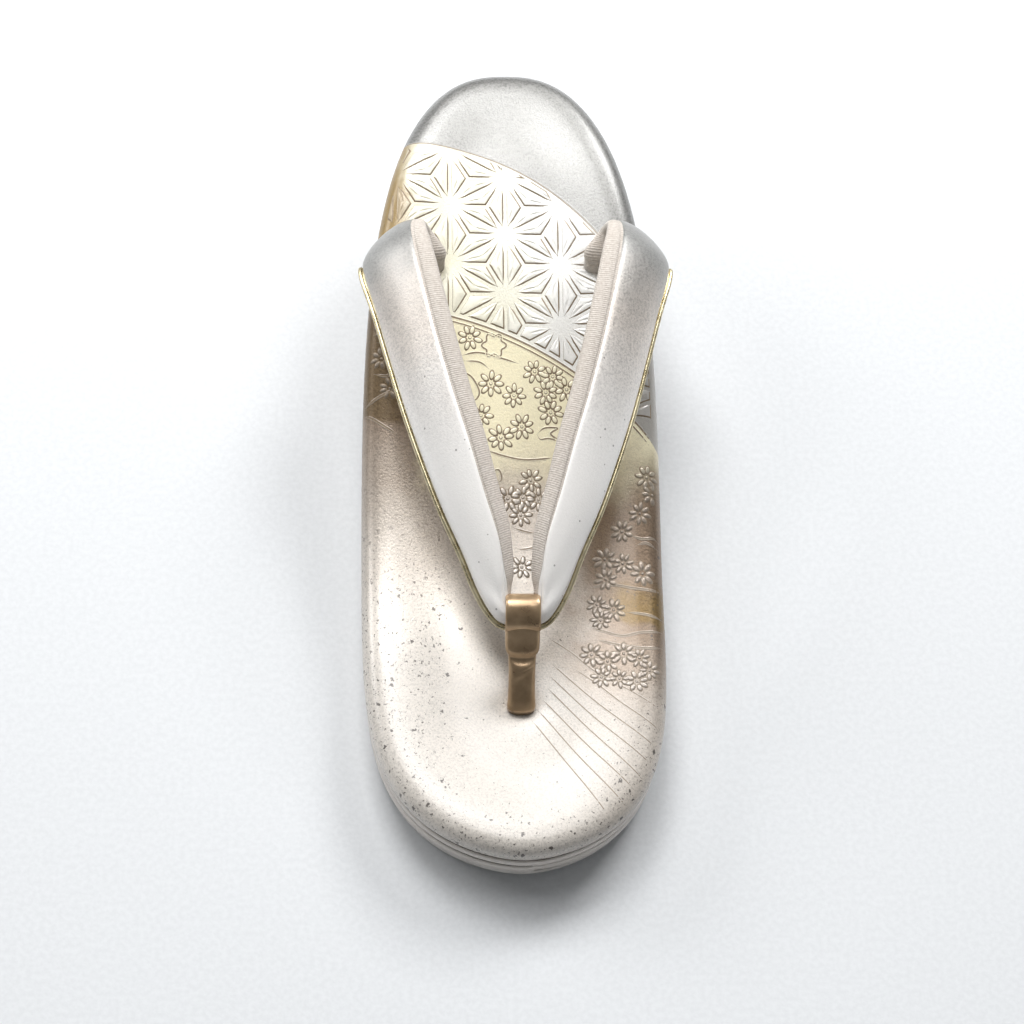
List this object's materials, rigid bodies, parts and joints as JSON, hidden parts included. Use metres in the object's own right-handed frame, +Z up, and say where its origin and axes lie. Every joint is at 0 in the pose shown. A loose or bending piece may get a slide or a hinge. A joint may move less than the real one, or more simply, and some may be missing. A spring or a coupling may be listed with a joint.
{
  "type": "zori sandal",
  "caption": "Padded dress zori: wedge sole of two wrapped tiers under a dished footbed, V strap with piping and a looped toe post.",
  "frame": {"origin": "middle of the bounding box, on the floor under the outsole", "axes": "+Z up, +Y from the toe to the heel, -X the medial side (big toe) of this left shoe"},
  "size_m": [0.0932, 0.2434, 0.0655],
  "materials": {
    "footbed_leather": "pearl, semi-gloss",
    "side_wrap": "pearl, satin",
    "outsole_rubber": "matt",
    "strap_leather": "pearl and silver, fine grain",
    "strap_lining": "short velour",
    "piping_gold": "metallic foil",
    "post_leather": "metallic, satin"
  },
  "bodies": {
    "root": {"outsole": "outsole_rubber", "lower_tier": "side_wrap", "upper_tier": "side_wrap", "footbed": "footbed_leather", "strap": "strap_leather", "strap_piping": "piping_gold", "toe_post": "post_leather"}
  },
  "joints": []
}
